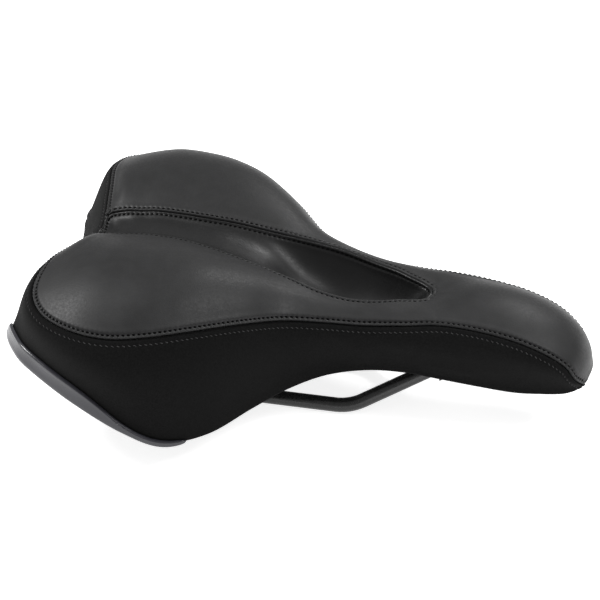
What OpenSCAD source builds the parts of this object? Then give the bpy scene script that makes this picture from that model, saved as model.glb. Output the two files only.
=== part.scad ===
// Padded comfort saddle for a bicycle.
// X runs forward to the nose, Y to the rider's left and Z up. The origin lies midway between the two
// rails, on their centrelines, at the middle of the straight length that the seatpost clamp holds.

/* [Rails] */
// Diameter of the rail rod
rail_d = 7; // [6.8:0.1:7.2]
// Distance between the two rail centrelines
rail_gauge = 44; // [42:1:46]
// Length of the straight stretch, between the corners of the bends
rail_straight = 68; // [60:1:72]
// Distance from the corner of the front bend's centrelines to where the bend starts
front_bend_reach = 7; // [6:0.5:8]
// Distance from the corner of the rear bend's centrelines to where the bend starts
rear_bend_reach = 7.5; // [6:0.5:8]

/* [Cover] */
// Thickness of the synthetic leather and of the side fabric
cover_t = 1.2; // [0.8:0.1:1.6]
// Thickness of the memory foam pad at its middle
memory_t = 8; // [4:1:10]

/* [Base] */
// Wall thickness of the plastic base
base_t = 3; // [2.5:0.5:4]
// Distance from the cover's hem in to the rim of the base
rim_inset = 4; // [3:0.5:5]

/* [Corner guards] */
// Greatest height of the guards above the hem
guard_h = 6.6; // [5:0.2:8]
// Wall thickness of the guards
guard_t = 1.6; // [1.4:0.1:2]

/* [Fasteners] */
// Head diameter of the pan-head screws
screw_head_d = 7; // [6:0.5:8]
// Shank diameter of the pan-head screws
screw_d = 3.5; // [3:0.5:4]
// Number of staples along each side of the hem
staples_per_side = 22; // [10:1:26]

/* [Hidden] */

gap = 0.12;
// clearance between the base and the hem turned up inside it
hem_gap = 0.3;
rail_y = rail_gauge / 2;
rail_r = rail_d / 2;

// Ribs of the left half, from the centre of the back, round the wing and forward to the nose.
// Each rib: inner seam point, outer seam point, hem point,
// [dip of the centre channel, rise by the inner seam, rise by the outer seam, flare at the hem],
// [x of the surface's centreline], [x and z of the base's centreline]
RIBS = [
  [[-93, 0, 68], [-93, 0, 68], [-108, 0, 46], [0, 0, 0, 0.5], [-93], [-88, 50]],
  [[-94, 9, 69.5], [-94, 9, 69.5], [-110, 18, 45.5], [2, 0, 0, 0.5], [-88], [-85, 50]],
  [[-91, 12, 71], [-99, 33, 73.5], [-115, 37.5, 44.5], [2, 4, 3, 0.5], [-84], [-82, 50]],
  [[-87.5, 12.5, 72], [-103.5, 54, 75], [-119.3, 58.5, 43], [2, 9, 7, 0.5], [-80], [-78, 50]],
  [[-83, 12.5, 73], [-103, 73, 71], [-110.5, 75, 40.5], [2, 12, 12, 0.4], [-76], [-74, 50]],
  [[-77, 12.5, 73.5], [-94.5, 86.5, 67.5], [-97, 84.3, 36], [2, 14, 17, 0.3], [-71], [-70, 50]],
  [[-69, 12.5, 74.5], [-79, 94.5, 65.5], [-76, 93, 28.5], [2.5, 14.5, 21, 0.2], [-65], [-64, 50]],
  [[-58, 12.5, 74.5], [-62, 95.5, 64], [-55, 95, 18.7], [3, 15, 22, 0.1], [-57], [-57, 50]],
  [[-45, 13, 73.5], [-45, 89.5, 63.5], [-37, 92.3, 12.2], [3.5, 14.5, 23, 0.1], [-45], [-45, 49]],
  [[-30, 15, 71.3], [-27, 77.5, 62.5], [-19, 80, 12.3], [4.2, 12, 22, 0.1], [-30], [-30, 47]],
  [[-13, 17, 67.7], [-9, 61, 59.5], [-4, 58, 15], [7, 9, 16, 0.1], [-13], [-13, 44]],
  [[4, 19.5, 64], [7, 44.5, 54.7], [9, 42, 18], [16.5, 4.5, 8, 0.1], [4], [4, 40]],
  [[20, 21.5, 60], [24, 37, 52], [25, 32, 22], [20.5, 2, 4, 0.1], [20], [20, 36]],
  [[36, 19.5, 56.5], [42, 32, 50], [43, 28, 24.8], [20, 2, 3.5, 0], [36], [36, 33]],
  [[53, 13, 55], [60, 28.8, 50.5], [60, 25, 24.2], [17, 2.5, 3, 0], [53], [53, 33]],
  [[68, 0, 53.5], [77, 26.2, 51.5], [77, 23.5, 22], [0, 0.7, 4.2, 0], [68], [69, 36]],
  [[89, 0, 57], [95, 25.2, 50], [94, 21.7, 19.5], [0, 2.3, 2.5, 0], [89], [86, 37]],
  [[109, 0, 55], [112, 24.7, 46.5], [111, 20.5, 17.8], [0, 2.8, 2.8, 0], [109], [104, 36]],
  [[125.5, 0, 49], [126, 23.4, 40.8], [124, 19.2, 18], [0, 2.8, 2.8, 0], [125.5], [119, 34]],
  [[137, 0, 41], [135, 21, 34], [133, 17, 18], [0, 2.4, 3, 0], [137], [130, 31]],
  [[143, 0, 32.5], [139.5, 19, 27], [138.5, 15.5, 19.3], [0, 2, 2.2, 0], [143], [136, 28]],
  [[145.2, 0, 24], [143, 12.5, 20.8], [143, 12.5, 20.8], [0, 0.9, 0.9, 0], [145.2], [140.5, 26]]
];
last_rib = len(RIBS) - 1;
// the rib at the corner where the centre panel, the top panel and the back wall meet
corner_rib = 1;
// the rib at the front tip of the centre panel
tip_rib = 15;
// spacing of the mesh rows, in ribs
rib_step = 0.5;
// mesh cells across the centre panel's half, the top panel and the side panel
centre_cells = 3;
top_cells = 6;
side_cells = 4;

// First and last rib that a memory foam pad reaches
memory_ribs = [2.5, 9.5];
// First and last rib of the corner guards
guard_ribs = [3, 8.5];
// Height of the guards above the hem at places along them: [rib, share of guard_h]
GUARD_SHARE = [[3, 0.42], [3.5, 0.75], [4, 0.85], [5, 0.95], [6, 1], [6.5, 0.75], [7, 0.22], [7.5, 0.1], [8.5, 0.08]];
guard_flange_w = 7.6;
guard_drop = 0.5;
guard_gap = 0.55;
// Places of the guards' screws, in ribs
guard_screw_ribs = [3.36, 5.82, 7.45];
flap_share = 0.86;
rim_rise = 1;

// Each leg of a rail climbs at a rise angle in a plane that leans from the vertical
front_rise = 31;
front_lean = 30;
front_leg = 62;
rear_rise = 34;
rear_lean = 30;
rear_leg = 62;
bend_step = 0.04;
bend_lap = 0.4;
socket_bore_d = rail_d + 0.2;
// outside diameter of the sleeves that hold the legs
sleeve_d = 13.4;

// bottom of the nose socket, top of its wide part and top of its pad
nose_socket_z = [17.5, 28, 32];
rear_flange_z = [41.2, 44.2];
// how far the rear legs turn outwards, seen from above
rear_toe = atan(tan(rear_rise) * sin(rear_lean));

// ---- surfaces of the seat, worked out from the ribs ----

function mirrored_rib(r) = [for (k = [0:5]) k < 3 ? [r[k].x, -r[k].y, r[k].z] : r[k]];

// Catmull-Rom curve through b and c
function curve(a, b, c, d, t) =
  0.5 * (2 * b + (c - a) * t + (2 * a - 5 * b + 4 * c - d) * t * t
    + (3 * b - a - 3 * c + d) * t * t * t);

// A rib past the channel's tip that makes the inner seam run into the tip square to the centreline
function blunt_rib(r, before) =
  concat([[before[0].x, -3 * before[0].y, r[0].z]], [for (k = [1:5]) r[k]]);

function smooth_rib(s) =
  let (i = min(floor(s), last_rib - 1),
    before = i > 0 ? RIBS[i - 1] : mirrored_rib(RIBS[1]),
    after = i + 1 == tip_rib ? blunt_rib(RIBS[i + 2], RIBS[i]) :
      i + 2 <= last_rib ? RIBS[i + 2] : 2 * RIBS[last_rib] - RIBS[last_rib - 1])
  curve(before, RIBS[i], RIBS[i + 1], after, s - i);

// The rib at any place s along the half: behind the corner rib the two seams are one
function rib(s) =
  s < 0 ? mirrored_rib(rib(-s)) :
  let (r = smooth_rib(s),
    inner = [r[0].x, s >= tip_rib ? 0 : max(r[0].y, 0), r[0].z])
  s < corner_rib ? [inner, inner, r[2], [r[3][0], 0, 0, r[3][3]], r[4], r[5]]
    : [inner, r[1], r[2], r[3], r[4], r[5]];

// Level unit vector that points out of the seat at the hem
function outward(s) =
  let (h = 0.02,
    a = rib(s - h)[2],
    b = rib(min(s + h, last_rib))[2],
    t = [b.x - a.x, b.y - a.y])
  [-t.y, t.x, 0] / norm(t);

function bezier(a, b, c, d, t) =
  a * pow(1 - t, 3) + b * (3 * t * pow(1 - t, 2)) + c * (3 * t * t * (1 - t)) + d * pow(t, 3);

// Half the centre panel: w runs from 0 on the centreline to 1 at the inner seam
function centre_point(r, w) =
  [r[4][0] + (r[0].x - r[4][0]) * w * w, r[0].y * w, r[0].z - r[3][0] * (1 - pow(w, 2.8))];

// The top panel: t runs from 0 at the inner seam to 1 at the outer seam
function top_point(r, t) =
  let (a = r[0], b = r[1])
  [a.x + (b.x - a.x) * t * t, a.y + (b.y - a.y) * t,
    a.z + (b.z - a.z) * t + 3 * t * (1 - t) * ((1 - t) * r[3][1] + t * r[3][2])];

// The side panel: t runs from 0 at the outer seam to 1 at the hem
function side_point(r, n, t) =
  let (a = r[0], b = r[1], c = r[2],
    end = [2 * (b.x - a.x), b.y - a.y, b.z - a.z - 3 * r[3][2]],
    over = norm(end) > 0.001 ? end / norm(end) : n * 0.7 - [0, 0, 0.7],
    down = n * r[3][3] - [0, 0, 1],
    reach = norm(c - b) * 0.35)
  bezier(b, b + over * reach, c - down / norm(down) * reach, c, t);

// A point on the outside of the seat: w is 0 to 1 on the centre panel, to 2 on the top, to 3 on the side
function seat_point(s, w) =
  w <= 1 ? centre_point(rib(s), w) :
  w <= 2 ? top_point(rib(s), w - 1) :
  side_point(rib(s), outward(s), w - 2);

// A point on the base: b is 0 on the centreline and 1 at the rim, depth is the distance below its top
function base_point(s, b, depth) =
  let (r = rib(s), hem = r[2],
    top = [r[5][0], 0, r[5][1] - depth],
    rim = hem - outward(s) * (rim_inset + depth) + [0, 0, rim_rise],
    shoulder = [top.x + (rim.x - top.x) * 0.75, rim.y * 0.75, top.z],
    side = [rim.x, rim.y, hem.z + 0.75 * (top.z - hem.z)])
  bezier(top, shoulder, side, rim, b);

// The place on the base that faces w on the seat
function facing(s, w) =
  let (r = rib(s), inner = r[0].y / max(r[1].y, 1) * 2 / 3)
  w <= 1 ? w * inner : w <= 2 ? inner + (w - 1) * (2 / 3 - inner) : w / 3;

// A point below the outside of the seat, moved in towards the base
function lined_point(s, w, depth) =
  let (p = seat_point(s, w), q = base_point(s, facing(s, w), 0))
  p + (q - p) / norm(q - p) * depth;

// ---- closed solids from pairs of point grids ----

function steps(from, to, count) = [for (k = [0:count]) from + (to - from) * k / count];
function rows(from, to) = steps(from, to, round((to - from) / rib_step));
function rounded(p) = [for (v = p) round(v * 10000) / 10000];

// A polyhedron whose coincident corners are welded. With both, the left half is mirrored in the centre
// plane and the faces that lie in that plane are left out, so the two halves make one solid.
module welded_solid(points, faces, both) {
  half = [for (p = points) rounded(p)];
  count = len(half);
  all = both ? concat(half, [for (p = half) [p.x, -p.y, p.z]]) : half;
  flipped = [for (f = faces) [f[0] + count, f[2] + count, f[1] + count]];
  ids = [for (p = all) search([p], all, 1)[0]];
  kept = [for (f = both ? concat(faces, flipped) : faces)
    let (a = ids[f[0]], b = ids[f[1]], c = ids[f[2]])
    if (a != b && b != c && c != a)
    if (!both || abs(all[a].y) + abs(all[b].y) + abs(all[c].y) > 0)
    [a, b, c]];
  polyhedron(all, kept);
}

// The solid between an outer and an inner grid with the same rows and columns
module skin(outer, inner, both = false) {
  nr = len(outer);
  nc = len(outer[0]);
  count = nr * nc;
  top = [for (i = [0:nr - 2]) for (j = [0:nc - 2])
    let (a = i * nc + j, b = a + 1, c = b + nc, d = a + nc)
    each [[a, b, c], [a, c, d]]];
  bottom = [for (f = top) [f[2] + count, f[1] + count, f[0] + count]];
  ring = concat([for (j = [0:nc - 1]) j], [for (i = [1:nr - 1]) i * nc + nc - 1],
    [for (j = [nc - 2:-1:0]) (nr - 1) * nc + j], [for (i = [nr - 2:-1:1]) i * nc]);
  edge = [for (k = [0:len(ring) - 1])
    let (a = ring[k], b = ring[(k + 1) % len(ring)])
    each [[b, a, a + count], [b, a + count, b + count]]];
  points = [for (grid = [outer, inner]) for (row = grid) each row];
  welded_solid(points, concat(top, bottom, edge), both);
}

module left_and_right() {
  children();
  mirror([0, 1, 0]) children();
}

// ---- covers ----

module top_cover() {
  w = concat([1 + 0.01], [for (k = [1:top_cells - 1]) 1 + k / top_cells], [2 - 0.002]);
  color([0.2, 0.2, 0.21])
    skin([for (s = rows(corner_rib, last_rib)) [for (v = s >= tip_rib ? steps(1, 2, top_cells) : w)
        seat_point(s, v)]],
      [for (s = rows(corner_rib, last_rib)) [for (v = s >= tip_rib ? steps(1, 2, top_cells) : w)
        lined_point(s, v, cover_t)]], true);
}

module centre_cover() {
  w = steps(0, 0.99, centre_cells);
  color([0.14, 0.14, 0.15])
    skin([for (s = rows(0, tip_rib)) [for (v = w) seat_point(s, v)]],
      [for (s = rows(0, tip_rib)) [for (v = w) lined_point(s, v, cover_t)]], true);
}

// The side panel with its hem, which is turned under the rim of the base and up inside it
module side_cover() {
  w = concat([2.004], [for (k = [1:side_cells]) 2 + k / side_cells]);
  under = rim_inset + base_t + hem_gap;
  r = concat([0.02], [for (s = rows(rib_step, last_rib - 1)) s]);
  color([0.07, 0.07, 0.075])
    skin([for (s = r) concat([for (v = w) seat_point(s, v)],
        [rib(s)[2] - outward(s) * (under + cover_t) - [0, 0, 0.4],
          base_point(s, flap_share, base_t + hem_gap + cover_t)])],
      [for (s = r) concat([for (v = w) lined_point(s, v, cover_t)],
        [rib(s)[2] - outward(s) * under + [0, 0, 0.8], base_point(s, flap_share, base_t + hem_gap)])]);
}

module side_cover_left() side_cover();

module side_cover_right() mirror([0, 1, 0]) side_cover();

// ---- padding ----

// Depth of the memory foam's pocket below the cover: 0 at its edge and -1 beyond it
function memory_depth(s, w) =
  let (u = (s - memory_ribs[0]) / (memory_ribs[1] - memory_ribs[0]),
    v = ((w - 1) * top_cells - 1) / (top_cells - 2))
  max(abs(u - 0.5), abs(v - 0.5)) > 0.501 ? -1 : memory_t * sin(180 * u) * sin(180 * v);

module foam_pad() {
  w = concat(steps(0, 0.99, centre_cells), [for (k = [1:top_cells]) 1 + k / top_cells],
    [for (k = [1:side_cells]) 2 + k / side_cells]);
  pocket_wall = 0.5;
  base_clearance = 0.5;
  color([0.85, 0.8, 0.6])
    skin([for (s = rows(0, last_rib)) [for (v = w)
        let (m = memory_depth(s, v))
        lined_point(s, v, cover_t + gap + (m < -0.5 ? 0 : m + pocket_wall))]],
      [for (s = rows(0, last_rib)) [for (v = w) base_point(s, facing(s, v), -base_clearance)]], true);
}

module memory_foam() {
  w = [for (k = [1:top_cells - 1]) 1 + k / top_cells];
  pad_edge = 0.4;
  color([0.95, 0.93, 0.85])
    skin([for (s = rows(memory_ribs[0], memory_ribs[1])) [for (v = w)
        lined_point(s, v, cover_t + gap)]],
      [for (s = rows(memory_ribs[0], memory_ribs[1])) [for (v = w)
        lined_point(s, v, cover_t + gap + pad_edge + memory_depth(s, v))]]);
}

module memory_foam_left() memory_foam();

module memory_foam_right() mirror([0, 1, 0]) memory_foam();

// ---- base and corner guards ----

module base_shell() {
  b = steps(0, 1, 9);
  color([0.1, 0.1, 0.1])
    skin([for (s = rows(0, last_rib)) [for (v = b) base_point(s, v, 0)]],
      [for (s = rows(0, last_rib)) [for (v = b) base_point(s, v, base_t)]], true);
}

function guard_top(s) =
  let (r = rib(s))
  3 - guard_h * lookup(s, GUARD_SHARE) / norm(r[2] - r[1]);

// One row of a guard: down the side panel, round the hem and in under it
function guard_row(s, depth) =
  let (n = outward(s), hem = rib(s)[2], out = guard_gap + guard_t - depth)
  concat([for (w = steps(guard_top(s), 3, 3)) seat_point(s, w) + n * out],
    [hem + n * (out - 0.4) - [0, 0, guard_drop + guard_t - depth],
      hem - n * guard_flange_w - [0, 0, guard_drop + guard_t - depth]]);

module corner_guard() {
  s = rows(guard_ribs[0], guard_ribs[1]);
  color([0.34, 0.34, 0.37])
    skin([for (v = s) guard_row(v, 0)], [for (v = s) guard_row(v, guard_t)]);
}

module corner_guard_left() corner_guard();

module corner_guard_right() mirror([0, 1, 0]) corner_guard();

// ---- rails and their sockets ----

// Puts a leg at its corner on the rail line, leaning inwards at the front and outwards at the rear
module front_leg_place() {
  translate([rail_straight / 2, rail_y, 0])
    rotate([front_lean, 0, 0])
      children();
}

module rear_leg_place() {
  translate([-rail_straight / 2, rail_y, 0])
    rotate([0, 0, 180])
      rotate([rear_lean, 0, 0])
        children();
}

// The bend's arc and the straight leg beyond it, with the corner of the two centrelines at the origin.
// The arc is a hair thinner than the straights, which lap over its ends.
module bend_and_leg(rise, reach, length) {
  r = reach / tan(rise / 2);
  translate([-reach, 0, r])
    rotate([90, 0, 0])
      rotate([0, 0, -90])
        rotate_extrude(angle = rise, $fn = 96)
          translate([r, 0])
            circle(d = rail_d - bend_step, $fn = 48);
  rotate([0, 90 - rise, 0])
    translate([0, 0, reach - bend_lap])
      cylinder(h = length - reach + bend_lap, d = rail_d, $fn = 48);
}

// A round bar along a leg, between two distances from its corner
module along_leg(rise, from, to, d) {
  rotate([0, 90 - rise, 0])
    translate([0, 0, from])
      cylinder(h = to - from, d = d, $fn = 48);
}

module rail() {
  rear = -rail_straight / 2 + rear_bend_reach - bend_lap;
  front = rail_straight / 2 - front_bend_reach + bend_lap;
  color([0.05, 0.05, 0.05]) {
    translate([rear, rail_y, 0])
      rotate([0, 90, 0])
        cylinder(h = front - rear, d = rail_d, $fn = 48);
    front_leg_place()
      bend_and_leg(front_rise, front_bend_reach, front_leg);
    rear_leg_place()
      bend_and_leg(rear_rise, rear_bend_reach, rear_leg);
  }
}

module rail_left() rail();

module rail_right() mirror([0, 1, 0]) rail();

module screw(length) {
  head_h = 2.2;
  translate([0, 0, -head_h])
    difference() {
      union() {
        cylinder(h = head_h, d1 = screw_head_d - 1, d2 = screw_head_d, $fn = 48);
        cylinder(h = head_h + length, d = screw_d, $fn = 48);
      }
      for (a = [0, 90])
        rotate([0, 0, a])
          translate([-screw_head_d / 4, -0.5, -0.01])
            cube([screw_head_d / 2, 1, 1.2]);
    }
}

nose_screws_x = [80, 90];

// The outline of the nose socket, which holds the tips of both rails
module nose_outline() {
  polygon([[75, -13.9], [79, -13.9], [92, -11.5], [96, -8.5], [96, 8.5], [92, 11.5], [79, 13.9], [75, 13.9]]);
}

module nose_socket() {
  sleeve_z = 15;
  pad_w = 18;
  color([0.12, 0.12, 0.12])
    difference() {
      union() {
        translate([0, 0, nose_socket_z[0]])
          linear_extrude(nose_socket_z[1] - nose_socket_z[0])
            nose_outline();
        translate([77, -pad_w / 2, nose_socket_z[1] - 1])
          cube([17, pad_w, nose_socket_z[2] - nose_socket_z[1] + 1]);
        intersection() {
          translate([0, 0, sleeve_z])
            linear_extrude(nose_socket_z[1] - 1 - sleeve_z)
              nose_outline();
          left_and_right()
            front_leg_place()
              along_leg(front_rise, 40, 56, sleeve_d);
        }
      }
      left_and_right()
        front_leg_place()
          along_leg(front_rise, 30, front_leg + gap, socket_bore_d);
      for (x = nose_screws_x)
        translate([x, 0, nose_socket_z[0] - 1])
          cylinder(h = 20, d = screw_d + 0.3, $fn = 48);
    }
}

module nose_socket_screws() {
  color([0.6, 0.6, 0.62])
    for (x = nose_screws_x)
      translate([x, 0, nose_socket_z[0]])
        screw(18);
}

rear_screws = [[-70, 49], [-93, 29.5]];

module rear_socket() {
  boss_z = 24;
  color([0.12, 0.12, 0.12])
    difference() {
      union() {
        translate([0, 0, rear_flange_z[0]])
          linear_extrude(rear_flange_z[1] - rear_flange_z[0])
            polygon([[-97, 26], [-88, 25], [-64, 40], [-63, 48], [-66, 54], [-73, 54], [-97, 38]]);
        translate([-79, 37, boss_z])
          rotate([0, 0, -rear_toe])
            linear_extrude(rear_flange_z[0] + 1 - boss_z)
              polygon([[-10, -6], [-8, -8], [9, -8], [11, -6], [11, 6], [9, 8], [-8, 8], [-10, 6]]);
        rear_leg_place()
          along_leg(rear_rise, 40, 56, sleeve_d);
      }
      rear_leg_place()
        along_leg(rear_rise, 30, rear_leg + gap, socket_bore_d);
      for (p = rear_screws)
        translate([p.x, p.y, rear_flange_z[0] - 1])
          cylinder(h = 10, d = screw_d + 0.3, $fn = 48);
    }
}

module rear_socket_left() rear_socket();

module rear_socket_right() mirror([0, 1, 0]) rear_socket();

module rear_socket_screws() {
  color([0.6, 0.6, 0.62])
    left_and_right()
      for (p = rear_screws)
        translate([p.x, p.y, rear_flange_z[0]])
          screw(6);
}

module guard_screws() {
  color([0.6, 0.6, 0.62])
    left_and_right()
      for (s = guard_screw_ribs)
        translate(rib(s)[2] - outward(s) * (rim_inset + base_t / 2) - [0, 0, guard_drop + guard_t])
          scale(0.55)
            screw(8.4);
}

// ---- staples through the hem into the wall of the base ----

module staple() {
  crown_w = 7;
  wire = 0.8;
  leg = 3.5;
  translate([-wire, -crown_w / 2, -wire / 2])
    cube([wire, crown_w, wire]);
  for (y = [-crown_w / 2, crown_w / 2 - wire])
    translate([-wire / 2, y, -wire / 2])
      cube([leg + wire / 2, wire, wire]);
}

module cover_staples() {
  share = 0.9;
  color([0.7, 0.7, 0.7])
    left_and_right()
      for (k = [1:staples_per_side]) {
        s = 0.5 + (last_rib - 3) * k / staples_per_side;
        n = outward(s);
        translate(base_point(s, share, base_t + hem_gap + cover_t))
          rotate([0, 0, atan2(n.y, n.x)])
            staple();
      }
}

top_cover();
centre_cover();
side_cover_left();
side_cover_right();
foam_pad();
memory_foam_left();
memory_foam_right();
base_shell();
corner_guard_left();
corner_guard_right();
rail_left();
rail_right();
nose_socket();
nose_socket_screws();
rear_socket_left();
rear_socket_right();
rear_socket_screws();
guard_screws();
cover_staples();
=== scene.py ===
import math

import bpy
import numpy as np
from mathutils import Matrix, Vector
from mathutils.kdtree import KDTree


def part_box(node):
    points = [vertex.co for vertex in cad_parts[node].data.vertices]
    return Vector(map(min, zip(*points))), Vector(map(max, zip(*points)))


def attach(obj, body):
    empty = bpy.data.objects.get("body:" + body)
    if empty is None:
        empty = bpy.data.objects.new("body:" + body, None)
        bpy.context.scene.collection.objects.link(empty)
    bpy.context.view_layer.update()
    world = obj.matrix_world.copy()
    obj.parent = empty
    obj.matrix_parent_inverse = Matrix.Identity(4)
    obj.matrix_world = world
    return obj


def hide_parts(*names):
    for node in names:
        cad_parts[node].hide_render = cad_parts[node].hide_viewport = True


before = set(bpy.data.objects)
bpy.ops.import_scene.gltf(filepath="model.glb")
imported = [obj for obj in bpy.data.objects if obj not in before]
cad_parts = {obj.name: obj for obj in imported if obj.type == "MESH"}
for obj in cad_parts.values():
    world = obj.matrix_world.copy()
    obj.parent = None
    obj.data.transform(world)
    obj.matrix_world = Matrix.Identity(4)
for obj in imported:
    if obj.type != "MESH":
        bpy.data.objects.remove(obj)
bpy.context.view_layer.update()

# ---------------------------------------------------------------- shape of the seat
# The seat's ribs, in millimetres in the row frame, from the centre of the back round the wing to the nose:
# inner seam, outer seam, hem, [dip, rise by the inner seam, rise by the outer seam, flare], [centre x],
# [x and z of the base's centreline]. They are the same ribs that the CAD model is built on.
RIBS = [
    [[-93, 0, 68], [-93, 0, 68], [-108, 0, 46], [0, 0, 0, 0.5], [-93], [-88, 50]],
    [[-94, 9, 69.5], [-94, 9, 69.5], [-110, 18, 45.5], [2, 0, 0, 0.5], [-88], [-85, 50]],
    [[-91, 12, 71], [-99, 33, 73.5], [-115, 37.5, 44.5], [2, 4, 3, 0.5], [-84], [-82, 50]],
    [[-87.5, 12.5, 72], [-103.5, 54, 75], [-119.3, 58.5, 43], [2, 9, 7, 0.5], [-80], [-78, 50]],
    [[-83, 12.5, 73], [-103, 73, 71], [-110.5, 75, 40.5], [2, 12, 12, 0.4], [-76], [-74, 50]],
    [[-77, 12.5, 73.5], [-94.5, 86.5, 67.5], [-97, 84.3, 36], [2, 14, 17, 0.3], [-71], [-70, 50]],
    [[-69, 12.5, 74.5], [-79, 94.5, 65.5], [-76, 93, 28.5], [2.5, 14.5, 21, 0.2], [-65], [-64, 50]],
    [[-58, 12.5, 74.5], [-62, 95.5, 64], [-55, 95, 18.7], [3, 15, 22, 0.1], [-57], [-57, 50]],
    [[-45, 13, 73.5], [-45, 89.5, 63.5], [-37, 92.3, 12.2], [3.5, 14.5, 23, 0.1], [-45], [-45, 49]],
    [[-30, 15, 71.3], [-27, 77.5, 62.5], [-19, 80, 12.3], [4.2, 12, 22, 0.1], [-30], [-30, 47]],
    [[-13, 17, 67.7], [-9, 61, 59.5], [-4, 58, 15], [7, 9, 16, 0.1], [-13], [-13, 44]],
    [[4, 19.5, 64], [7, 44.5, 54.7], [9, 42, 18], [16.5, 4.5, 8, 0.1], [4], [4, 40]],
    [[20, 21.5, 60], [24, 37, 52], [25, 32, 22], [20.5, 2, 4, 0.1], [20], [20, 36]],
    [[36, 19.5, 56.5], [42, 32, 50], [43, 28, 24.8], [20, 2, 3.5, 0], [36], [36, 33]],
    [[53, 13, 55], [60, 28.8, 50.5], [60, 25, 24.2], [17, 2.5, 3, 0], [53], [53, 33]],
    [[68, 0, 53.5], [77, 26.2, 51.5], [77, 23.5, 22], [0, 0.7, 4.2, 0], [68], [69, 36]],
    [[89, 0, 57], [95, 25.2, 50], [94, 21.7, 19.5], [0, 2.3, 2.5, 0], [89], [86, 37]],
    [[109, 0, 55], [112, 24.7, 46.5], [111, 20.5, 17.8], [0, 2.8, 2.8, 0], [109], [104, 36]],
    [[125.5, 0, 49], [126, 23.4, 40.8], [124, 19.2, 18], [0, 2.8, 2.8, 0], [125.5], [119, 34]],
    [[137, 0, 41], [135, 21, 34], [133, 17, 18], [0, 2.4, 3, 0], [137], [130, 31]],
    [[143, 0, 32.5], [139.5, 19, 27], [138.5, 15.5, 19.3], [0, 2, 2.2, 0], [143], [136, 28]],
    [[145.2, 0, 24], [143, 12.5, 20.8], [143, 12.5, 20.8], [0, 0.9, 0.9, 0], [145.2], [140.5, 26]],
]
FLAT = np.array([[v for part in rib for v in part] for rib in RIBS], float)
LAST = len(RIBS) - 1
CORNER = 1
TIP = 15
MIRROR = np.array([1.0, -1.0, 1.0])

COVER = 1.2
PITCH = 2.4
BASE_T = 3.0
RIM_INSET = 4.0
RIM_RISE = 1.0
FLAP_SHARE = 0.86
HEM_GAP = 0.3
GUARD_ENDS = [3.0, 8.5]
GUARD_H = 6.6
GUARD_AT = [3, 3.5, 4, 5, 6, 6.5, 7, 7.5, 8.5]
GUARD_SHARE = [0.42, 0.75, 0.85, 0.95, 1, 0.75, 0.22, 0.1, 0.08]
GUARD_T = 1.6
GUARD_GAP = 0.5
GUARD_DROP = 0.5
GUARD_FLANGE = 7.6


def dot(a, b):
    return (a * b).sum(-1, keepdims=True)


def unit(v):
    return v / np.maximum(np.linalg.norm(v, axis=-1, keepdims=True), 1e-9)


def rib_rows(s):
    """The ribs at places s along the half, from a Catmull-Rom curve through the table."""
    s = np.atleast_1d(np.asarray(s, float))
    a = np.abs(s)
    i = np.minimum(a.astype(int), LAST - 1)
    t = (a - i)[:, None]
    first = FLAT[1].copy()
    first[[1, 4, 7]] *= -1
    table = np.vstack([first, FLAT, 2 * FLAT[-1] - FLAT[-2]])
    p0, p1, p2, p3 = table[i], table[i + 1], table[i + 2], table[i + 3]
    tip = i == TIP - 1
    p3[tip, 0] = p1[tip, 0]
    p3[tip, 1] = -3 * p1[tip, 1]
    q = 0.5 * (2 * p1 + (p2 - p0) * t + (2 * p0 - 5 * p1 + 4 * p2 - p3) * t * t
               + (3 * p1 - p0 - 3 * p2 + p3) * t ** 3)
    q[:, 1] = np.maximum(q[:, 1], 0)
    q[a >= TIP, 1] = 0
    back = a < CORNER
    q[back, 3:6] = q[back, 0:3]
    q[back, 10:12] = 0
    q[np.ix_(s < 0, [1, 4, 7])] *= -1
    return q


def outward(s):
    """Level unit vectors that point out of the seat at the hem."""
    s = np.atleast_1d(np.asarray(s, float))
    a = rib_rows(s - 0.02)[:, 6:8]
    b = rib_rows(np.minimum(s + 0.02, LAST))[:, 6:8]
    t = unit(b - a)
    return np.stack([-t[:, 1], t[:, 0], np.zeros(len(s))], 1)


def bezier(a, b, c, d, t):
    return a * (1 - t) ** 3 + b * 3 * t * (1 - t) ** 2 + c * 3 * t * t * (1 - t) + d * t ** 3


def centre_grid(s, w):
    q = rib_rows(s)[:, None, :]
    w = np.asarray(w, float)[None, :]
    return np.stack([q[..., 13] + (q[..., 0] - q[..., 13]) * w * w, q[..., 1] * w,
                     q[..., 2] - q[..., 9] * (1 - np.abs(w) ** 2.8)], -1)


def top_grid(s, t):
    q = rib_rows(s)[:, None, :]
    t = np.asarray(t, float)[None, :]
    x = q[..., 0] + (q[..., 3] - q[..., 0]) * t * t
    y = q[..., 1] + (q[..., 4] - q[..., 1]) * t
    z = q[..., 2] + (q[..., 5] - q[..., 2]) * t + 3 * t * (1 - t) * ((1 - t) * q[..., 10] + t * q[..., 11])
    return np.stack([x, y, z], -1)


def side_grid(s, t):
    q = rib_rows(s)
    n = outward(s)
    a, b, c = q[:, 0:3], q[:, 3:6], q[:, 6:9]
    end = np.stack([2 * (b[:, 0] - a[:, 0]), b[:, 1] - a[:, 1], b[:, 2] - a[:, 2] - 3 * q[:, 11]], 1)
    flat = np.linalg.norm(end, axis=1) < 0.001
    over = unit(end)
    over[flat] = n[flat] * 0.7 - np.array([0, 0, 0.7])
    down = unit(n * q[:, 12:13] - np.array([0, 0, 1.0]))
    reach = np.linalg.norm(c - b, axis=1)[:, None] * 0.35
    t = np.asarray(t, float)[None, :, None]
    return bezier(b[:, None], (b + over * reach)[:, None], (c - down * reach)[:, None], c[:, None], t)


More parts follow.
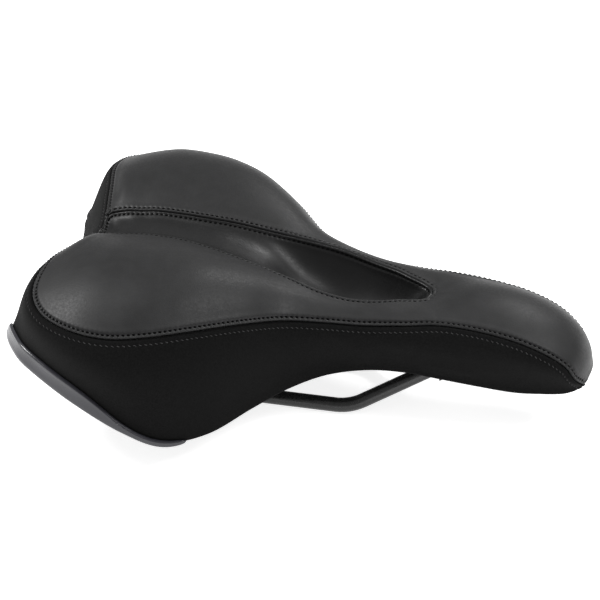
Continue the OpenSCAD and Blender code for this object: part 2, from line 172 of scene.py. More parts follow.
def base_grid(s, b, depth):
    """Points of the base: b is 0 on the centreline and 1 at the rim."""
    q = rib_rows(s)
    n = outward(s)
    hem = q[:, 6:9]
    top = np.stack([q[:, 14], np.zeros(len(q)), q[:, 15] - depth], 1)
    rim = hem - n * (RIM_INSET + depth) + np.array([0, 0, RIM_RISE])
    shoulder = np.stack([top[:, 0] + (rim[:, 0] - top[:, 0]) * 0.75, rim[:, 1] * 0.75, top[:, 2]], 1)
    side = np.stack([rim[:, 0], rim[:, 1], hem[:, 2] + 0.75 * (top[:, 2] - hem[:, 2])], 1)
    b = np.asarray(b, float)[None, :, None]
    return bezier(top[:, None], shoulder[:, None], side[:, None], rim[:, None], b)


# One millimetre in the frame's metres, measured on the CAD model's top cover.
half_rows = np.arange(CORNER, LAST + 0.25, 0.5)
table_x = top_grid(half_rows, np.linspace(0, 1, 7))[..., 0]
cover_lo, cover_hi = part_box("top_cover")
MM = (cover_hi.x - cover_lo.x) / (table_x.max() - table_x.min())
OFFSET = np.array([cover_lo.x / MM - table_x.min(), 0, 0])


# ---------------------------------------------------------------- grids and meshes
def spread(count, length, first):
    """Shares from 0 to 1 for each row's length, closer together near both ends, with first as the first step."""
    u = np.linspace(0, 1, count)
    ks = np.linspace(0.02, 3.6, 120)
    shares = 0.5 * (1 + np.tanh(ks[:, None] * (2 * u[None, :] - 1)) / np.tanh(ks[:, None]))
    want = np.clip(first / np.maximum(length, 1e-6), shares[-1, 1], shares[0, 1])
    k = np.interp(want, shares[::-1, 1], ks[::-1])[:, None]
    return 0.5 * (1 + np.tanh(k * (2 * u[None, :] - 1)) / np.tanh(k))


def resample(grid, shares):
    """Each row of the grid again at those shares of its length."""
    step = np.linalg.norm(np.diff(grid, axis=1), axis=2)
    run = np.concatenate([np.zeros((len(grid), 1)), np.cumsum(step, axis=1)], 1)
    out = np.empty(shares.shape + (3,))
    for i in range(len(grid)):
        want = shares[i] * run[i, -1]
        for k in range(3):
            out[i, :, k] = np.interp(want, run[i], grid[i, :, k])
    return out


def row_lengths(grid):
    return np.linalg.norm(np.diff(grid, axis=1), axis=2).sum(1)


def normals(grid, towards):
    """Unit normals of a grid, on the side of the points towards."""
    du = np.gradient(grid, axis=0)
    dv = np.gradient(grid, axis=1)
    n = np.cross(du, dv)
    size = np.linalg.norm(n, axis=2)
    n = unit(n)
    flip = dot(n, towards) < 0
    n = np.where(flip, -n, n)
    weak = size < 1e-4 * np.median(size)
    for i, j in zip(*np.nonzero(weak)):
        ii = min(max(i, 2), len(grid) - 3)
        jj = min(max(j, 2), grid.shape[1] - 3)
        n[i, j] = n[ii, jj]
    return n


class Seam:
    """A seam curve: its points, and the run along it in millimetres."""

    def __init__(self, points):
        step = np.linalg.norm(np.diff(points, axis=0), axis=1)
        self.run = np.concatenate([[0], np.cumsum(step)])
        self.points = points
        want = np.arange(0, self.run[-1], 0.2)
        fine = np.stack([np.interp(want, self.run, points[:, k]) for k in range(3)], 1)
        self.fine_run = want
        self.tree = KDTree(len(fine))
        for i, p in enumerate(fine):
            self.tree.insert(p, i)
        self.tree.balance()

    def near(self, grid):
        """Distance from the seam, and the run along it, for each point of the grid."""
        flat = grid.reshape(-1, 3)
        found = [self.tree.find(p) for p in flat]
        d = np.array([f[2] for f in found]).reshape(grid.shape[:2])
        u = self.fine_run[np.array([f[1] for f in found])].reshape(grid.shape[:2])
        return d, u


def bump(d, at, width):
    return np.exp(-((d - at) / width) ** 2)


def build(name, grids, thickness=0.0):
    """One mesh from several point grids in millimetres. Corners that coincide are welded."""
    points = np.concatenate([g.reshape(-1, 3) for g, _ in grids])
    key = np.round(points * 2000).astype(np.int64)
    _, first, back = np.unique(key, axis=0, return_index=True, return_inverse=True)
    back = back.reshape(-1)
    faces = []
    start = 0
    for g, flip in grids:
        nr, nc = g.shape[:2]
        ids = back[start:start + nr * nc].reshape(nr, nc)
        start += nr * nc
        a, b, c, d = ids[:-1, :-1], ids[:-1, 1:], ids[1:, 1:], ids[1:, :-1]
        quads = np.stack([a, b, c, d] if not flip else [a, d, c, b], -1).reshape(-1, 4)
        for q in quads.tolist():
            q = [v for k, v in enumerate(q) if v != q[k - 1]]
            if len(set(q)) == len(q) and len(q) > 2:
                faces.append(q)
    mesh = bpy.data.meshes.new(name)
    mesh.from_pydata(((points[first] + OFFSET) * MM).tolist(), [], faces)
    mesh.validate()
    mesh.polygons.foreach_set("use_smooth", [True] * len(mesh.polygons))
    mesh.update()
    piece = bpy.data.objects.new(name, mesh)
    bpy.context.scene.collection.objects.link(piece)
    if thickness:
        solid = piece.modifiers.new("thickness", "SOLIDIFY")
        solid.thickness = thickness * MM
        solid.offset = -1
    return piece


def both(grid, flip=False):
    """A left half's grid and its mirror image."""
    return [(grid, flip), (grid * MIRROR, not flip)]


def finish_piece(piece, material, slot, *stands_for):
    piece.data.materials.append(material)
    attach(piece, "root")
    if stands_for:
        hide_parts(*stands_for)


# ---------------------------------------------------------------- padding, by cloth simulation
# It moves the panels very little: their padded shape is already in the ribs.
def puffed(grids, frames=20, cap=1.2, pressure=4.0, every=(6, 3)):
    """How far the padding swells each left grid, by a cloth simulation of a coarse copy that its seams hold.
    Returns one array of moves for each grid, in millimetres."""
    coarse = []
    for g, held in grids:
        rows = np.unique(np.round(np.linspace(0, len(g) - 1, len(g) // every[0])).astype(int))
        cols = np.unique(np.round(np.linspace(0, g.shape[1] - 1, g.shape[1] // every[1])).astype(int))
        coarse.append((g[np.ix_(rows, cols)], held[np.ix_(rows, cols)], rows, cols))
    parts = []
    holds = []
    for g, held, _, _ in coarse:
        parts += [g.reshape(-1, 3), (g * MIRROR).reshape(-1, 3)]
        holds += [held.reshape(-1), held.reshape(-1)]
    points = np.concatenate(parts)
    hold = np.concatenate(holds)
    key = np.round(points * 200).astype(np.int64)
    _, first, back = np.unique(key, axis=0, return_index=True, return_inverse=True)
    back = back.reshape(-1)
    faces = []
    start = 0
    for g, _, _, _ in coarse:
        nr, nc = g.shape[:2]
        for flip in (False, True):
            ids = back[start:start + nr * nc].reshape(nr, nc)
            start += nr * nc
            a, b, c, d = ids[:-1, :-1], ids[:-1, 1:], ids[1:, 1:], ids[1:, :-1]
            order = [a, b, c, d] if flip else [a, d, c, b]
            for q in np.stack(order, -1).reshape(-1, 4).tolist():
                q = [v for k, v in enumerate(q) if v != q[k - 1]]
                if len(set(q)) == len(q) and len(q) > 2:
                    faces.append(q)
    mesh = bpy.data.meshes.new("padding_sim")
    mesh.from_pydata((points[first] * 0.001).tolist(), [], faces)
    mesh.update()
    piece = bpy.data.objects.new("padding_sim", mesh)
    bpy.context.scene.collection.objects.link(piece)
    group = piece.vertex_groups.new(name="held")
    held_ids = np.unique(back[np.nonzero(hold > 0.5)[0]])
    group.add(held_ids.tolist(), 1.0, "REPLACE")
    cloth = piece.modifiers.new("cloth", "CLOTH")
    cs = cloth.settings
    cs.vertex_group_mass = "held"
    cs.use_pressure = True
    cs.uniform_pressure_force = pressure
    cs.effector_weights.gravity = 0
    cs.quality = 6
    cs.tension_stiffness = 40
    cs.compression_stiffness = 40
    cs.shear_stiffness = 20
    cs.bending_stiffness = 2.0
    cloth.point_cache.frame_start = 1
    cloth.point_cache.frame_end = frames
    scene = bpy.context.scene
    for f in range(1, frames + 1):
        scene.frame_set(f)
    deps = bpy.context.evaluated_depsgraph_get()
    after = piece.evaluated_get(deps).data
    moved = np.empty(len(after.vertices) * 3)
    after.vertices.foreach_get("co", moved)
    moved = moved.reshape(-1, 3) * 1000 - points[first]
    size = np.linalg.norm(moved, axis=1, keepdims=True)
    moved *= np.minimum(1, cap / np.maximum(size, 1e-9))
    bpy.data.objects.remove(piece, do_unlink=True)
    scene.frame_set(1)
    out = []
    start = 0
    for (g, _), (cg, _, rows, cols) in zip(grids, coarse):
        nr, nc = cg.shape[:2]
        part = moved[back[start:start + nr * nc]].reshape(nr, nc, 3)
        start += 2 * nr * nc
        wide = np.empty((nr, g.shape[1], 3))
        for i in range(nr):
            for k in range(3):
                wide[i, :, k] = np.interp(np.arange(g.shape[1]), cols, part[i, :, k])
        full = np.empty(g.shape)
        for j in range(g.shape[1]):
            for k in range(3):
                full[:, j, k] = np.interp(np.arange(len(g)), rows, wide[:, j, k])
        out.append(full)
    return out


# ---------------------------------------------------------------- materials
def new_material(name, rough, specular=0.5):
    m = bpy.data.materials.new(name)
    m.use_nodes = True
    nodes, links = m.node_tree.nodes, m.node_tree.links
    shader = nodes["Principled BSDF"]
    shader.inputs["Roughness"].default_value = rough
    shader.inputs["Specular IOR Level"].default_value = specular
    coords = nodes.new("ShaderNodeTexCoord")
    return m, nodes, links, shader, coords


def mottled(nodes, links, shader, coords, low, high, scale, socket="Base Color"):
    noise = nodes.new("ShaderNodeTexNoise")
    noise.inputs["Scale"].default_value = scale
    noise.inputs["Detail"].default_value = 5
    links.new(coords.outputs["Object"], noise.inputs["Vector"])
    ramp = nodes.new("ShaderNodeValToRGB")
    ramp.color_ramp.elements[0].position = 0.35
    ramp.color_ramp.elements[1].position = 0.65
    ramp.color_ramp.elements[0].color = low
    ramp.color_ramp.elements[1].color = high
    links.new(noise.outputs["Fac"], ramp.inputs["Fac"])
    links.new(ramp.outputs["Color"], shader.inputs[socket])
    return ramp


def grey(v, blue=1.0):
    return (v, v, v * blue, 1)


def leather(name, tone, rough, specular):
    m, nodes, links, shader, coords = new_material(name, rough, specular)
    mottled(nodes, links, shader, coords, grey(tone * 0.86, 1.03), grey(tone * 1.14, 1.03), 160)
    mottled(nodes, links, shader, coords, grey(rough - 0.04), grey(rough + 0.05), 900, "Roughness")
    cells = nodes.new("ShaderNodeTexVoronoi")
    cells.inputs["Scale"].default_value = 1500
    warp = nodes.new("ShaderNodeTexNoise")
    warp.inputs["Scale"].default_value = 3200
    warp.inputs["Detail"].default_value = 3
    mix = nodes.new("ShaderNodeMath")
    mix.operation = "ADD"
    links.new(coords.outputs["Object"], cells.inputs["Vector"])
    links.new(coords.outputs["Object"], warp.inputs["Vector"])
    links.new(cells.outputs["Distance"], mix.inputs[0])
    links.new(warp.outputs["Fac"], mix.inputs[1])
    rise = nodes.new("ShaderNodeBump")
    rise.inputs["Strength"].default_value = 0.35
    rise.inputs["Distance"].default_value = 0.00006
    links.new(mix.outputs[0], rise.inputs["Height"])
    links.new(rise.outputs["Normal"], shader.inputs["Normal"])
    return m


def suede(name, tone):
    m, nodes, links, shader, coords = new_material(name, 0.95, 0.05)
    mottled(nodes, links, shader, coords, grey(tone * 0.75), grey(tone * 1.25), 1400)
    shader.inputs["Sheen Weight"].default_value = 0.015
    shader.inputs["Sheen Roughness"].default_value = 0.5
    nap = nodes.new("ShaderNodeTexNoise")
    nap.inputs["Scale"].default_value = 4200
    nap.inputs["Detail"].default_value = 4
    links.new(coords.outputs["Object"], nap.inputs["Vector"])
    rise = nodes.new("ShaderNodeBump")
    rise.inputs["Strength"].default_value = 0.5
    rise.inputs["Distance"].default_value = 0.00008
    links.new(nap.outputs["Fac"], rise.inputs["Height"])
    links.new(rise.outputs["Normal"], shader.inputs["Normal"])
    return m


def plain(name, low, high, rough, scale=300, bump_scale=1500, bump_height=0.00003, specular=0.5,
          metallic=0.0):
    m, nodes, links, shader, coords = new_material(name, rough, specular)
    shader.inputs["Metallic"].default_value = metallic
    mottled(nodes, links, shader, coords, low, high, scale)
    mottled(nodes, links, shader, coords, grey(rough - 0.05), grey(rough + 0.05), scale * 3, "Roughness")
    noise = nodes.new("ShaderNodeTexNoise")
    noise.inputs["Scale"].default_value = bump_scale
    noise.inputs["Detail"].default_value = 3
    links.new(coords.outputs["Object"], noise.inputs["Vector"])
    rise = nodes.new("ShaderNodeBump")
    rise.inputs["Strength"].default_value = 0.3
    rise.inputs["Distance"].default_value = bump_height
    links.new(noise.outputs["Fac"], rise.inputs["Height"])
    links.new(rise.outputs["Normal"], shader.inputs["Normal"])
    return m


MAT_TOP = leather("vinyl_top", 0.011, 0.49, 0.3)
# The centre vinyl's base tone is darker than the top's. Part of this is the panel's own darker, smoother vinyl.
# Part is painted shade that darkens the deep channel hollow, and it applies over the whole panel.
MAT_CENTRE = leather("vinyl_centre", 0.0045, 0.4, 0.3)
MAT_SIDE = suede("suede_side", 0.0058)
MAT_THREAD_DARK = plain("thread_black", grey(0.001), grey(0.003), 0.8, 2500, 5000, specular=0.05)
MAT_THREAD_GREY = plain("thread_grey", grey(0.022), grey(0.04), 0.7, 2500, 5000, specular=0.2)
MAT_GUARD = plain("plastic_grey", (0.024, 0.024, 0.029, 1), (0.028, 0.028, 0.034, 1), 0.22, 90, 700, 0.00001,
                  specular=0.4)
MAT_PLASTIC = plain("plastic_black", grey(0.016), grey(0.026), 0.5, 250, 1800, 0.00005)
MAT_RAIL = plain("rail_black", grey(0.008), grey(0.014), 0.3, 400, 1200, 0.00002)
MAT_ZINC = plain("zinc", grey(0.45), grey(0.62), 0.32, 900, 2500, 0.00002, 0.5, 1.0)
MAT_FOAM = plain("foam_cream", (0.55, 0.48, 0.3, 1), (0.68, 0.6, 0.4, 1), 0.85, 700, 1800, 0.0002)


# ---------------------------------------------------------------- seams
fine_s = np.linspace(CORNER, LAST, 4001)
outer_curve = rib_rows(fine_s)[:, 3:6]
outer_run = np.concatenate([[0], np.cumsum(np.linalg.norm(np.diff(outer_curve, axis=0), axis=1))])
row_step = PITCH / 4
row_count = int(outer_run[-1] / row_step)
top_rows = np.interp(np.arange(row_count + 1) * outer_run[-1] / row_count, outer_run, fine_s)
OUTER = Seam(outer_curve)

back_s = np.linspace(0, CORNER, 401)
back_curve = rib_rows(back_s)[:, 0:3]
BACK = Seam(back_curve)
back_rows = np.interp(np.linspace(0, BACK.run[-1], int(BACK.run[-1] / row_step) + 1), BACK.run, back_s)

inner_s = np.linspace(CORNER, TIP, 3001)
INNER = Seam(rib_rows(inner_s)[:, 0:3])
inner_rows = np.interp(np.linspace(0, INNER.run[-1], int(INNER.run[-1] / row_step) + 1), INNER.run, inner_s)

SPINE = Seam(side_grid([0.0], np.linspace(0, 1, 81))[0])
UP = np.array([0, 0, 1.0])

# how far each row of stitches lies from its seam, and the deepest that a seam folds in, in millimetres
EDGE_STITCH = 2.0
RIDGE_STITCH = 1.9
FABRIC_STITCH = 3.1
FOLD = 1.1


def pucker(u):
    return np.cos(u * (2 * math.pi / PITCH))


# top panel, left half
dense = top_grid(top_rows, np.linspace(0, 1, 161))
top = resample(dense, spread(58, row_lengths(dense), 0.26))
top_n = normals(top, UP + 0 * top)
joined = top_rows >= TIP
top_n[joined, 0, 1] = 0
top_n = unit(top_n)

# centre panel, left half, with the rows behind the corner
centre_rows = np.concatenate([back_rows[:-1], inner_rows])
dense = centre_grid(centre_rows, np.linspace(0, 1, 101))
centre = resample(dense, spread(26, row_lengths(dense), 0.36))
centre_n = normals(centre, UP + 0 * centre)
centre_n[:, 0, 1] = 0
centre_n = unit(centre_n)

# side panel, left half
side_rows = np.concatenate([back_rows[:-1], top_rows])
dense = side_grid(side_rows, np.linspace(0, 1, 121))
SIDE_COLUMNS = 34
side = resample(dense, spread(SIDE_COLUMNS, row_lengths(dense), 0.36))
side_out = np.repeat(outward(side_rows)[:, None, :], side.shape[1], 1)
side_n = normals(side, side_out + 0.3 * UP)
side_n[0, :, 1] = 0
side_n = unit(side_n)

# padding
held_top = np.zeros(top.shape[:2])
held_top[:, -1] = 1
held_top[~joined, 0] = 1
held_top[0] = held_top[-1] = 1
held_centre = np.zeros(centre.shape[:2])
held_centre[:, -1] = 1
held_centre[0] = held_centre[-1] = 1
held_side = np.zeros(side.shape[:2])
held_side[:, [0, -1]] = 1
held_side[[0, -1]] = 1
top_puff, = puffed([(top, held_top)])
centre_puff, = puffed([(centre, held_centre)], cap=0.6)
side_puff, = puffed([(side, held_side)], cap=0.8)

# seam relief
top_outer, top_outer_u = OUTER.near(top)
top_inner, top_inner_u = INNER.near(top)


def vinyl_edge(d, u):
    """Height of a vinyl edge by a seam: the fold, its rolled edge, the stitch groove and the puckers."""
    h = -FOLD * bump(d, 0, 0.36) + 0.5 * bump(d, 0.95, 0.42)
    h = h - 0.5 * bump(d, EDGE_STITCH, 0.5) + 0.14 * bump(d, 3.6, 1.2)
    return h + pucker(u) * (0.24 * bump(d, EDGE_STITCH, 0.9) + 0.2 * bump(d, 0.9, 0.6))


def ridge_edge(d, u):
    """The same for the centre seams, where the two allowances make a low double ridge."""
    h = 0.45 * bump(d, 0.8, 1.6) - 1.05 * bump(d, 0, 0.34)
    h = h - 0.5 * bump(d, RIDGE_STITCH, 0.36) + 0.1 * bump(d, 3.4, 1.0)
    return h + pucker(u) * 0.18 * bump(d, RIDGE_STITCH, 0.8)


def fabric_edge(d, u):
    """The same for the fabric of the side panels, which is flatter."""
    h = -FOLD * bump(d, 0, 0.5) - 0.26 * bump(d, FABRIC_STITCH, 0.5) + 0.1 * bump(d, 1.6, 0.8)
    return h + pucker(u) * 0.07 * bump(d, FABRIC_STITCH, 0.8)


top_h = vinyl_edge(top_outer, top_outer_u) + ridge_edge(top_inner, top_inner_u)
top = top + top_puff + top_n * top_h[..., None]
top[joined, 0, 1] = 0

centre_inner, centre_inner_u = INNER.near(centre)
centre_back, centre_back_u = BACK.near(centre)
centre_h = ridge_edge(centre_inner, centre_inner_u) + vinyl_edge(centre_back, centre_back_u)
centre_h = np.maximum(centre_h, -FOLD)
centre = centre + centre_puff + centre_n * centre_h[..., None]
centre[:, 0, 1] = 0

side_outer, side_outer_u = OUTER.near(side)
side_back, side_back_u = BACK.near(side)
side_spine, _ = SPINE.near(side)
side_d = np.minimum(side_outer, side_back)
side_u = np.where(side_outer < side_back, side_outer_u, side_back_u)
side_h = np.maximum(fabric_edge(side_d, side_u) - 0.8 * bump(side_spine, 0, 0.5)
                    - 0.2 * bump(side_spine, 2.4, 0.5), -FOLD)
side = side + side_puff + side_n * side_h[..., None]
side[0, :, 1] = 0

# sewn panels meet along their seams, and the corner is one point
corner = len(back_rows) - 1
top[:, -1] = side[corner:, 0] = (top[:, -1] + side[corner:, 0]) / 2
centre[:corner, -1] = side[:corner, 0] = (centre[:corner, -1] + side[:corner, 0]) / 2
top[0, :] = side[corner, 0] = centre[corner, -1] = (top[0, -1] + centre[corner, -1]) / 2

# the hem, turned under the rim and up inside the base
hem_s = np.maximum(side_rows, 0.0)
hem_n = outward(hem_s)
hem = side[:, -1]
under = RIM_INSET + BASE_T + HEM_GAP + COVER
inside = rib_rows(hem_s)[:, 6:9] - hem_n * under - UP * 0.4
flap = base_grid(hem_s, [FLAP_SHARE + 0.06, FLAP_SHARE + 0.03, FLAP_SHARE], BASE_T + HEM_GAP + COVER)
turn = [hem, hem - hem_n * 0.35 - UP * 0.75, hem - hem_n * 1.1 - UP * 1.1]
turn += [hem + (inside - hem) * k + UP * (-1.1 * (1 - k)) for k in (0.4, 0.7)]
turn += [inside + hem_n * 0.5 - UP * 0.2, inside + UP * 0.5, flap[:, 0], flap[:, 1], flap[:, 2]]
turned = np.stack(turn, 1)
side = np.concatenate([side, turned[:, 1:]], 1)
side[0, :, 1] = 0

# the front of the top panel, turned under the nose
front = top[-1]
inward = unit(np.stack([np.full(len(front), -1.0), -front[:, 1] / 40, np.zeros(len(front))], 1))
nose_turn = np.stack([front, front + inward * 0.4 - UP * 0.8, front + inward * 1.3 - UP * 1.1,
                      front + inward * 4.5 - UP * 0.9, front + inward * 7.5 - UP * 0.3,
                      front + inward * 8 + UP * 2])

top_piece = build("top_panel", both(top, True) + both(nose_turn, True), COVER * 0.8)
finish_piece(top_piece, MAT_TOP, "top_leather", "top_cover")
centre_piece = build("centre_panel", both(centre, True), COVER * 0.8)
finish_piece(centre_piece, MAT_CENTRE, "centre_leather", "centre_cover")
left_side = build("side_panel_left", [(side, True)], COVER * 0.8)
finish_piece(left_side, MAT_SIDE, "side_fabric", "side_cover_left")
right_side = build("side_panel_right", [(side * MIRROR, False)], COVER * 0.8)
finish_piece(right_side, MAT_SIDE, "side_fabric", "side_cover_right")


# ---------------------------------------------------------------- stitches
def stitch_line(grid, normal, distance, run, at):
    """Where a row of stitches lies: points and normals on the panel at that distance from a seam, by run."""
    out = []
    for i in range(len(grid)):
        d = distance[i]
        k = np.nonzero((d[:-1] - at) * (d[1:] - at) <= 0)[0]
        if not len(k):
            continue
        j = min(k, key=lambda c: abs(run[i, c] - run[i, np.argmin(d)]))
        f = (at - d[j]) / (d[j + 1] - d[j]) if d[j + 1] != d[j] else 0.0
        out.append(np.concatenate([[run[i, j] + (run[i, j + 1] - run[i, j]) * f],
                                   grid[i, j] + (grid[i, j + 1] - grid[i, j]) * f,
                                   unit(normal[i, j] + (normal[i, j + 1] - normal[i, j]) * f)]))
    out = np.array(out)
    return out[np.argsort(out[:, 0], kind="stable")]


def stitch_mesh(name, lines, length, radius, slant, material, slot, sides=6, lift=0.12):
    """Short thread loops, one for each pitch along each line. Both ends dive into the panel."""
    profile = np.array([[-0.5, 0.35, -0.75], [-0.44, 0.8, -0.25], [-0.25, 1, 0.12], [0, 1, 0.2],
                        [0.25, 1, 0.12], [0.44, 0.8, -0.25], [0.5, 0.35, -0.75]])
    verts, faces = [], []
    for line, flip in lines:
        u = line[:, 0]
        keep = np.concatenate([[True], np.diff(u) > 1e-4])
        u, data = u[keep], line[keep, 1:]
        stops = np.arange(math.ceil(u[0] / PITCH) + 0.5, u[-1] / PITCH - 0.3) * PITCH
        pick = lambda w: np.stack([np.interp(w, u, data[:, k]) for k in range(6)], 1)
        here = pick(stops)
        ahead, behind = pick(stops + 0.5), pick(stops - 0.5)
        along = unit(ahead[:, :3] - behind[:, :3])
        up = unit(here[:, 3:])
        across = unit(np.cross(up, along))
        along = unit(along * math.cos(slant) + across * math.sin(slant))
        across = unit(np.cross(up, along))
        angles = np.arange(sides) * 2 * math.pi / sides
        for c, a, b, n in zip(here[:, :3], along, across, up):
            start = len(verts)
            for x, r, z in profile:
                middle = c + a * x * length + n * (z * radius * 1.6 + lift)
                for g in angles:
                    p = middle + (b * math.cos(g) + n * math.sin(g)) * radius * r
                    verts.append(p * MIRROR if flip else p)
            rings = len(profile)
            for i in range(rings - 1):
                for k in range(sides):
                    q = [start + i * sides + k, start + i * sides + (k + 1) % sides,
                         start + (i + 1) * sides + (k + 1) % sides, start + (i + 1) * sides + k]
                    faces.append(q if flip else q[::-1])
            cap = [start + k for k in range(sides)]
            end = [start + (rings - 1) * sides + k for k in range(sides)]
            faces.append(cap[::-1] if flip else cap)
            faces.append(end if flip else end[::-1])
    mesh = bpy.data.meshes.new(name)
    mesh.from_pydata(((np.array(verts) + OFFSET) * MM).tolist(), [], faces)
    mesh.polygons.foreach_set("use_smooth", [True] * len(mesh.polygons))
    mesh.update()
    piece = bpy.data.objects.new(name, mesh)
    bpy.context.scene.collection.objects.link(piece)
    finish_piece(piece, material, slot)
    return piece


def two_sides(line):
    return [(line, False), (line, True)]


edge_line = stitch_line(top, top_n, top_outer, top_outer_u, EDGE_STITCH)
top_ridge_line = stitch_line(top[~joined], top_n[~joined], top_inner[~joined], top_inner_u[~joined],
                             RIDGE_STITCH)
centre_ridge_line = stitch_line(centre[corner + 1:], centre_n[corner + 1:], centre_inner[corner + 1:],
                                centre_inner_u[corner + 1:], RIDGE_STITCH)
side_line = stitch_line(side[corner:, :SIDE_COLUMNS], side_n[corner:], side_outer[corner:], side_outer_u[corner:],
                        FABRIC_STITCH)
centre_back_line = stitch_line(centre.transpose(1, 0, 2), centre_n.transpose(1, 0, 2), centre_back.T,
                               centre_back_u.T, EDGE_STITCH)
side_back_line = stitch_line(side[:corner + 1, :SIDE_COLUMNS], side_n[:corner + 1], side_back[:corner + 1],
                             side_back_u[:corner + 1], FABRIC_STITCH)
stitch_mesh("stitches_outer_seam", two_sides(edge_line), 1.8, 0.38, 0.25, MAT_THREAD_DARK, "side_fabric")
stitch_mesh("stitches_top_by_channel", two_sides(top_ridge_line), 1.8, 0.34, 0.2, MAT_THREAD_DARK, "side_fabric")
stitch_mesh("stitches_channel", two_sides(centre_ridge_line), 1.8, 0.34, 0.2, MAT_THREAD_DARK, "side_fabric")
stitch_mesh("stitches_back", two_sides(centre_back_line), 1.8, 0.34, 0.2, MAT_THREAD_DARK, "side_fabric")
stitch_mesh("stitches_side", two_sides(side_line) + two_sides(side_back_line), 1.4, 0.2, 0.45, MAT_THREAD_GREY,
            "side_fabric")


# ---------------------------------------------------------------- foam, base and guards
def closed(outer, inner, name):
    """A closed body between two grids of a left half and their mirror images."""
    rim = np.stack([outer[:, -1], inner[:, -1]], 1)
    end = np.stack([outer[-1], inner[-1]], 0)
    return build(name, both(outer, True) + both(inner, False) + both(rim, True) + both(end, True))


foam_rows = np.linspace(0, LAST, 127)
UNDER_COVER = 1.32
FOAM_GAP = 1.2
c = centre_grid(foam_rows, np.linspace(0, 1, 9))
t = top_grid(foam_rows, np.linspace(0, 1, 19))[:, 1:]
d = side_grid(foam_rows, np.linspace(0, 1, 11))[:, 1:]
skin_grid = np.concatenate([c, t, d], 1)
q = rib_rows(foam_rows)
inner_share = q[:, 1] / np.maximum(q[:, 4], 1) * 2 / 3
facing = np.concatenate([np.linspace(0, 1, 9)[None] * inner_share[:, None],
                         inner_share[:, None] + np.linspace(0, 1, 19)[None, 1:] * (2 / 3 - inner_share[:, None]),
                         np.repeat(np.linspace(2, 3, 11)[None, 1:] / 3, len(q), 0)], 1)
deep = np.concatenate([base_grid([s], f, -0.5) for s, f in zip(foam_rows, facing)], 0)
line_in = unit(deep - skin_grid)
skin_n = normals(skin_grid, outward(foam_rows)[:, None] + UP)
depth = (UNDER_COVER + FOAM_GAP) / np.maximum(-dot(line_in, skin_n), 0.3)
reach = np.linalg.norm(deep - skin_grid, axis=2, keepdims=True)
foam_skin = skin_grid + line_in * np.minimum(depth, 0.6 * reach)
foam_piece = closed(foam_skin, deep, "foam_core")
finish_piece(foam_piece, MAT_FOAM, "seat_foam", "foam_pad", "memory_foam_left", "memory_foam_right")

base_rows = np.linspace(0, LAST, 169)
b_out = base_grid(base_rows, np.linspace(0, 1, 33), 0)
b_in = base_grid(base_rows, np.linspace(0, 1, 33), BASE_T)
base_piece = closed(b_out, b_in, "base_moulding")
finish_piece(base_piece, MAT_PLASTIC, "black_plastic", "base_shell")


def rounded(x):
    """A quarter circle from 0 to 1, then level."""
    return np.sqrt(1 - (1 - np.clip(x, 0, 1)) ** 2)


# a corner guard: its lip, its face down the side panel, round the hem, and the flange under the hem
REAR_ROUND = 4
FRONT_ROUND = 14
guard_s = np.linspace(GUARD_ENDS[0], GUARD_ENDS[1], 181)
guard_n = outward(guard_s)
q = rib_rows(guard_s)
guard_hem = q[:, 6:9]
guard_run = np.concatenate([[0], np.cumsum(np.linalg.norm(np.diff(guard_hem, axis=0), axis=1))])
ease = rounded(guard_run / REAR_ROUND) * rounded((guard_run[-1] - guard_run) / FRONT_ROUND)
height = GUARD_H * np.interp(guard_s, GUARD_AT, GUARD_SHARE)
height = np.convolve(np.pad(height, 10, mode="edge"), np.ones(21) / 21, mode="valid") * (0.15 + 0.85 * ease)
guard_share = 1 - height / np.linalg.norm(q[:, 6:9] - q[:, 3:6], axis=1)
thick = (GUARD_T * (0.2 + 0.8 * ease))[:, None]


def guard_line(k, out, rise=0.0):
    """One line along the guard: k is 0 at its lip and 1 at the hem, out is a share of its thickness."""
    shares = guard_share + (1 - guard_share) * k
    points = np.stack([side_grid([s], [v])[0, 0] for s, v in zip(guard_s, shares)])
    return points + guard_n * (GUARD_GAP + thick * out) + UP * rise * thick / GUARD_T


def under_line(out, inset, rise):
    """One line along the flange: inset from the face, and above the flange's underside."""
    return guard_hem + guard_n * ((GUARD_GAP + thick) * out - inset) + UP * (rise - GUARD_DROP - thick)


profile = [guard_line(0, 0, 0.1), guard_line(0, 0.04, 0.45), guard_line(0, 0.13, 0.6), guard_line(0, 0.35, 0.47),
           guard_line(0, 0.6, 0.3), guard_line(0, 0.85, 0.12), guard_line(0, 0.96, -0.15), guard_line(0, 1, -0.6)]
profile += [guard_line(k, 1) for k in np.linspace(0.2, 1, 8)]
profile += [under_line(1, 0, 0.9), under_line(1, 0.25, 0.3), under_line(1, 0.8, 0), under_line(1, 3, 0),
            under_line(0, GUARD_FLANGE - 0.3, 0), under_line(0, GUARD_FLANGE, 0.4),
            under_line(0, GUARD_FLANGE, thick - 0.2), under_line(0, GUARD_FLANGE - 0.2, thick),
            under_line(0, -0.1, thick)]
profile += [guard_line(k, 0) for k in np.linspace(1, 0.1, 7)]
guard = np.stack(profile, 1)
caps = [np.stack([guard[k], np.repeat(guard[k].mean(0)[None], guard.shape[1], 0)]) for k in (0, -1)]
rim_strip = np.stack([guard[:, -1], guard[:, 0]], 1)
for name, mirror, node in (("guard_left", False, "corner_guard_left"), ("guard_right", True, "corner_guard_right")):
    grids = [(guard, False), (rim_strip, False), (caps[0], True), (caps[1], False)]
    if mirror:
        grids = [(g * MIRROR, not flip) for g, flip in grids]
    finish_piece(build(name, grids), MAT_GUARD, "grey_plastic", node)

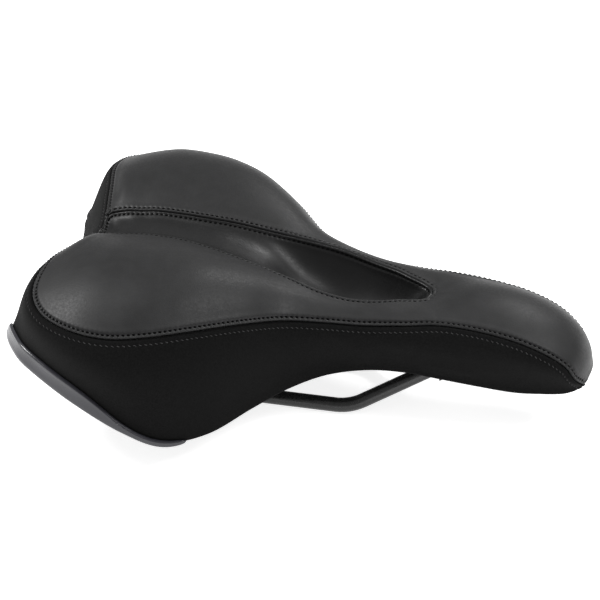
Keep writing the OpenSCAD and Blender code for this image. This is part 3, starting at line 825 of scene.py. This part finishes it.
# ---------------------------------------------------------------- CAD nodes that stay
for node, material in (("rail_left", MAT_RAIL), ("rail_right", MAT_RAIL), ("nose_socket", MAT_PLASTIC),
                       ("rear_socket_left", MAT_PLASTIC), ("rear_socket_right", MAT_PLASTIC),
                       ("nose_socket_screws", MAT_ZINC), ("rear_socket_screws", MAT_ZINC),
                       ("guard_screws", MAT_ZINC), ("cover_staples", MAT_ZINC)):
    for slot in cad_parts[node].material_slots:
        slot.material = material

# ---------------------------------------------------------------- floor, light and camera
FLOOR_GAP = 0.0002
floor_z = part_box("rail_left")[0].z - FLOOR_GAP
bpy.ops.mesh.primitive_plane_add(size=12, location=(0, 0, floor_z))
floor = bpy.context.object
floor.name = "floor"
floor_mat = plain("floor_pale", grey(0.86), grey(0.88), 0.9, 3, 10, 0.00001, 0.0)
floor_shader = floor_mat.node_tree.nodes["Principled BSDF"]
floor_shader.inputs["Emission Color"].default_value = (1, 1, 1, 1)
floor_shader.inputs["Emission Strength"].default_value = 0.8
floor.data.materials.append(floor_mat)

world = bpy.data.worlds.new("studio")
bpy.context.scene.world = world
world.use_nodes = True
world.node_tree.nodes["Background"].inputs["Color"].default_value = (1, 1, 1, 1)
world.node_tree.nodes["Background"].inputs["Strength"].default_value = 0.42


def softbox(name, place, aim, size, watts):
    """A rectangular lamp at place that points at aim. Lengths are in metres."""
    data = bpy.data.lights.new(name, "AREA")
    data.shape = "RECTANGLE"
    data.size, data.size_y = size
    data.energy = watts
    lamp = bpy.data.objects.new(name, data)
    bpy.context.scene.collection.objects.link(lamp)
    lamp.location = place
    lamp.rotation_euler = (Vector(aim) - Vector(place)).to_track_quat("-Z", "Y").to_euler()
    return lamp


softbox("softbox_left", (-0.88, -0.1, 1.05), (-0.08, -0.08, 0.07), (0.32, 0.44), 14)
softbox("softbox_right", (0.93, -0.06, 1.05), (0.1, 0, 0.05), (0.4, 0.4), 7)
softbox("softbox_top", (-0.26, -0.12, 1.35), (-0.06, -0.06, 0.05), (0.45, 0.09), 2)
softbox("softbox_back", (0.39, 0.74, 0.86), (-0.01, 0, 0.06), (0.36, 0.26), 4)

# The camera is DISTANCE metres from MIDDLE. SHIFT turns it, in shares of the picture's width, so that the
# saddle lies where the photo has it.
azimuth, elevation = math.radians(13.2), math.radians(28.8)
MIDDLE = Vector((0.010, 0, 0.035))
DISTANCE = 1.2
SHIFT = (0.019, 0.0233)
SENSOR = 36
FOCAL = 4.2
forward = Vector((-math.sin(azimuth) * math.cos(elevation), math.cos(azimuth) * math.cos(elevation),
                  -math.sin(elevation)))
right = Vector((math.cos(azimuth), math.sin(azimuth), 0))
above = right.cross(forward)
eye = MIDDLE - forward * DISTANCE
aim = forward - right * (SHIFT[0] / FOCAL) + above * (SHIFT[1] / FOCAL)
camera_data = bpy.data.cameras.new("camera")
camera_data.sensor_width = SENSOR
camera_data.lens = FOCAL * SENSOR
camera = bpy.data.objects.new("camera", camera_data)
bpy.context.scene.collection.objects.link(camera)
camera.location = eye
camera.rotation_euler = aim.to_track_quat("-Z", "Y").to_euler()
bpy.context.scene.camera = camera
bpy.context.scene.view_settings.view_transform = "Standard"
